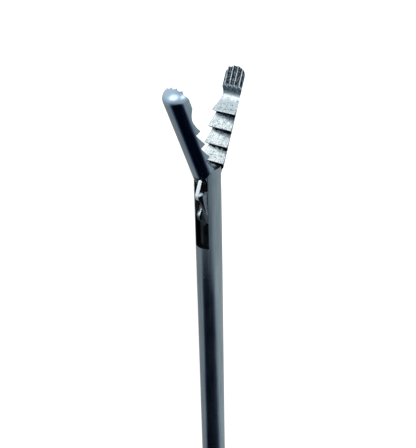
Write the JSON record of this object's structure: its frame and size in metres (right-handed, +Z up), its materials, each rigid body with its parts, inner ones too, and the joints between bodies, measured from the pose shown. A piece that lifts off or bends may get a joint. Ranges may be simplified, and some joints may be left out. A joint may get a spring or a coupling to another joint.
{
  "type": "urology grasping forceps",
  "caption": "Slim rigid endoscopic grasping forceps with a slotted shaft end, toothed double action jaws on crossed tails and links, and a ring handle.",
  "frame": {"origin": "on the shaft axis, at the front face of the ferrule, where the shaft leaves the handle", "axes": "+X along the shaft towards the jaws, +Z up, square to the plane in which jaws and handle open; the finger rings lie towards -Y"},
  "size_m": [0.4314, 0.0863, 0.007],
  "materials": {
    "shaft_steel": "satin drawn steel tube",
    "jaw_steel": "polished back, blasted satin teeth",
    "link_steel": "ground steel",
    "pin_steel": "ground and polished steel",
    "handle_steel": "satin steel",
    "bush_plastic": "plain white plastic"
  },
  "bodies": {
    "fixed_frame": {"fixed_handle": "handle_steel", "outer_tube": "shaft_steel", "clevis_tip": "shaft_steel", "jaw_pivot_pin": "pin_steel", "nose_ferrule": "handle_steel", "rod_guide_bush": "bush_plastic", "handle_pivot_screw": "pin_steel"},
    "lever": {"moving_handle": "handle_steel"},
    "rod": {"pull_rod": "link_steel", "rod_tip": "link_steel", "link_rod_pin": "pin_steel", "rod_coupler": "link_steel", "rod_lock_nut": "pin_steel", "drive_pin": "pin_steel", "coupler_screw": "pin_steel"},
    "right_jaw": {"jaw_right": "jaw_steel"},
    "left_jaw": {"jaw_left": "jaw_steel"},
    "upper_link": {"link_upper": "link_steel", "knee_pin_upper": "pin_steel"},
    "lower_link": {"link_lower": "link_steel", "knee_pin_lower": "pin_steel"}
  },
  "joints": [
    {"name": "handle_hinge", "type": "hinge", "parent": "fixed_frame", "child": "lever", "pos_m": [-0.0275, -0.005, 0], "axis": [0, 0, 1], "range_deg": [0, 11.33]},
    {"name": "rod_slide", "type": "slide", "parent": "fixed_frame", "child": "rod", "axis": [-1, 0, 0], "range_m": [0, 0.000992]},
    {"name": "right_jaw_hinge", "type": "hinge", "parent": "fixed_frame", "child": "right_jaw", "pos_m": [0.34595, 0, 0], "axis": [0, 0, 1], "range_deg": [0, 24.5]},
    {"name": "left_jaw_hinge", "type": "hinge", "parent": "fixed_frame", "child": "left_jaw", "pos_m": [0.34595, 0, 0], "axis": [0, 0, -1], "range_deg": [0, 24.5]},
    {"name": "upper_link_hinge", "type": "hinge", "parent": "rod", "child": "upper_link", "pos_m": [0.34028, 0, 0], "axis": [0, 0, -1], "range_deg": [0, 13.63]},
    {"name": "lower_link_hinge", "type": "hinge", "parent": "rod", "child": "lower_link", "pos_m": [0.34028, 0, 0], "axis": [0, 0, 1], "range_deg": [0, 13.63]}
  ],
  "couplings": [
    {"joint": "rod_slide", "follows": "handle_hinge", "m_per_rad": 0.0050173},
    {"joint": "right_jaw_hinge", "follows": "handle_hinge", "ratio": 2.1624},
    {"joint": "left_jaw_hinge", "follows": "handle_hinge", "ratio": 2.1624},
    {"joint": "upper_link_hinge", "follows": "handle_hinge", "ratio": 1.2033},
    {"joint": "lower_link_hinge", "follows": "handle_hinge", "ratio": 1.2033}
  ]
}
